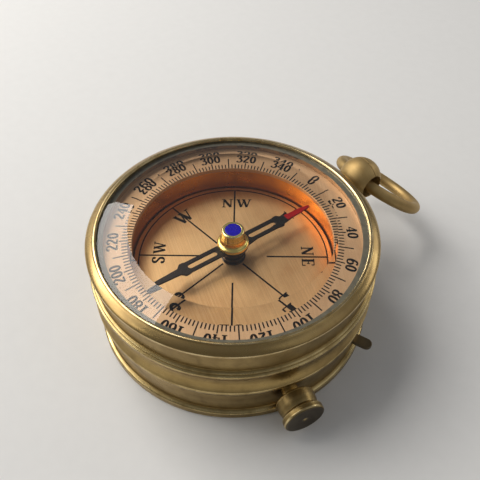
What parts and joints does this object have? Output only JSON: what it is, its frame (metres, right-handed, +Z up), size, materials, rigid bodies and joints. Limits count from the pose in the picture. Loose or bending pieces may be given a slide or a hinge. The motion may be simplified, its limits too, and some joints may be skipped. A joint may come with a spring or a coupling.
{
  "type": "magnetic compass",
  "caption": "Round brass drum compass with bevelled glass, recessed turning dial, pivoted needle, side knob, needle lift lever and a ball pendant with a bow.",
  "frame": {"origin": "centre of the flat base", "axes": "+Z up out of the base towards the glass, +Y out through the pendant, +X to the knob's side"},
  "size_m": [0.0824, 0.1034, 0.032],
  "materials": {
    "case_brass": "antique turned brass with fine circular tool marks, rubbed bright on its edges",
    "bezel_brass": "antique turned brass, lighter and smoother than the case",
    "base_brass": "turned brass with a dull face",
    "pendant_brass": "antique brass, softly polished",
    "knob_brass": "bright turned brass",
    "movement_brass": "bright machined brass",
    "dial_brass": "rose-toned brushed brass with black filled engraving",
    "well_brass": "orange lacquered brass",
    "cap_brass": "polished golden brass",
    "needle_steel": "dark blued steel with a red north tip",
    "dark_steel": "blackened, slightly glossy",
    "bright_steel": "ground steel",
    "spring_steel": "blued spring steel",
    "jewel": "deep blue polished jewel",
    "crystal": "clear polished glass with a wide bevel",
    "gasket": "aged grey-olive"
  },
  "bodies": {
    "case": {"case_body": "case_brass", "base_plate": "base_brass", "base_screws": "knob_brass", "bezel_ring": "bezel_brass", "glass_crystal": "crystal", "glass_gasket": "gasket", "spacer_ring": "well_brass", "degree_ring": "dial_brass", "well_ring": "well_brass", "bridge_pillars": "movement_brass", "bridge_plate": "movement_brass", "bridge_screws": "dark_steel", "guide_tube": "movement_brass", "dial_nut": "dark_steel", "pivot_post": "bright_steel", "pivot_point": "bright_steel", "lever_bracket": "movement_brass", "lever_pin": "bright_steel", "lever_spring": "spring_steel", "spring_screw": "dark_steel", "spindle_bush": "movement_brass", "spindle_bracket": "movement_brass", "pendant_stud": "pendant_brass", "pendant_collar": "pendant_brass", "pendant_ball": "pendant_brass"},
    "dial": {"dial_plate": "dial_brass", "dial_carrier": "movement_brass", "face_gear": "movement_brass"},
    "knob": {"setting_knob": "knob_brass", "knob_spindle": "bright_steel", "drive_pinion": "movement_brass", "spindle_clip": "dark_steel"},
    "lever": {"lift_lever": "pendant_brass"},
    "lift": {"lift_sleeve": "movement_brass", "lift_collar": "dark_steel"},
    "needle": {"needle_boss": "dark_steel", "needle_blade": "needle_steel", "needle_cap": "cap_brass", "cap_jewel": "jewel"},
    "bow": {"bow_ring": "pendant_brass"}
  },
  "joints": [
    {"name": "dial_turn", "type": "hinge", "parent": "case", "child": "dial", "pos_m": [0, 0, 0.0163], "axis": [0, 0, 1], "continuous": true},
    {"name": "knob_turn", "type": "hinge", "parent": "case", "child": "knob", "pos_m": [0, 0, 0.0065], "axis": [0.981, -0.1942, 0], "continuous": true},
    {"name": "lift_rise", "type": "slide", "parent": "case", "child": "lift", "axis": [0, 0, 1], "range_m": [0, 0.000837], "stiffness_N_per_m": 125, "springref_m": -0.002},
    {"name": "lever_tilt", "type": "hinge", "parent": "case", "child": "lever", "pos_m": [0.01813, 0.00845, 0.0075], "axis": [-0.4226, 0.9063, 0], "range_deg": [0, 2.4]},
    {"name": "needle_swing", "type": "hinge", "parent": "lift", "child": "needle", "pos_m": [0, 0, 0.0268], "axis": [0, 0, 1], "continuous": true},
    {"name": "bow_swing", "type": "hinge", "parent": "case", "child": "bow", "pos_m": [0, 0.0436, 0.0244], "axis": [0.9986, 0.0523, 0], "range_deg": [-56, 152]}
  ],
  "couplings": [
    {"joint": "knob_turn", "follows": "dial_turn", "ratio": -6.25},
    {"joint": "lever_tilt", "follows": "lift_rise", "rad_per_m": 50}
  ]
}
